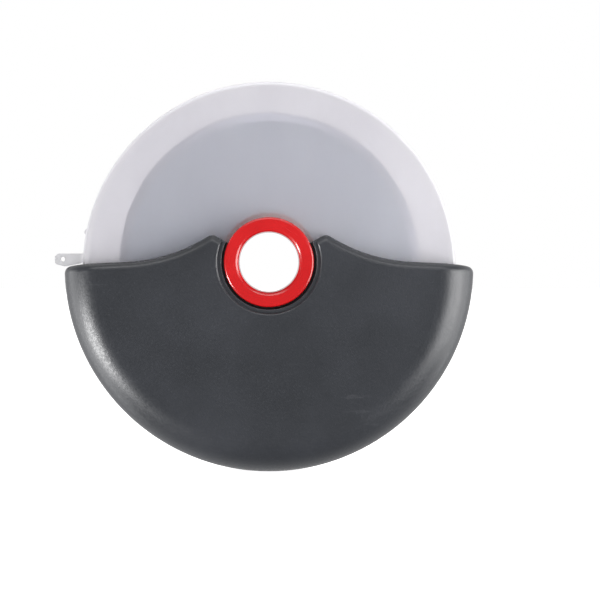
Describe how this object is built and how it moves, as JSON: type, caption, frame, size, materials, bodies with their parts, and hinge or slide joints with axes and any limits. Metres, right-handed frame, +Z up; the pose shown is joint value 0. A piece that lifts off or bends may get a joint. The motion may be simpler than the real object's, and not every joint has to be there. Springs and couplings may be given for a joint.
{
  "type": "palm-grip wheel cutter",
  "caption": "Wheel cutter with a half-moon palm grip, a steel disc on a ring-shaped hub, and a frosted blade guard that slides off upwards.",
  "frame": {"origin": "centre of the hub's through-hole, midway between the two flanges", "axes": "+Y along the hub axis towards the rear shell, -Y towards the front, +Z up from the grip towards the guard, +X away from the thumb tab"},
  "size_m": [0.1036, 0.0212, 0.0964],
  "materials": {
    "grip_plastic": "satin dark grey, fine moulded grain",
    "plate_plastic": "matte dark grey",
    "bearing_plastic": "black acetal",
    "screw_steel": "zinc plated",
    "insert_brass": "machined",
    "wheel_steel": "ground stainless with a polished bevel",
    "hub_plastic": "glossy red",
    "guard_plastic": "frosted translucent"
  },
  "bodies": {
    "grip": {"front_grip_shell": "grip_plastic", "rear_grip_shell": "grip_plastic", "front_inner_plate": "plate_plastic", "rear_inner_plate": "plate_plastic", "front_bearing_liner": "bearing_plastic", "rear_bearing_liner": "bearing_plastic", "front_thrust_washer": "bearing_plastic", "rear_thrust_washer": "bearing_plastic", "shell_screws": "screw_steel", "threaded_inserts": "insert_brass"},
    "wheel": {"cutting_wheel": "wheel_steel", "front_hub_ring": "hub_plastic", "rear_hub_ring": "hub_plastic"},
    "guard": {"blade_guard": "guard_plastic"}
  },
  "joints": [
    {"name": "wheel_spin", "type": "hinge", "parent": "grip", "child": "wheel", "pos_m": [0, 0, 0], "axis": [0, 1, 0], "continuous": true},
    {"name": "guard_slide", "type": "slide", "parent": "grip", "child": "guard", "axis": [0, 0, 1], "range_m": [0, 0.05]}
  ]
}
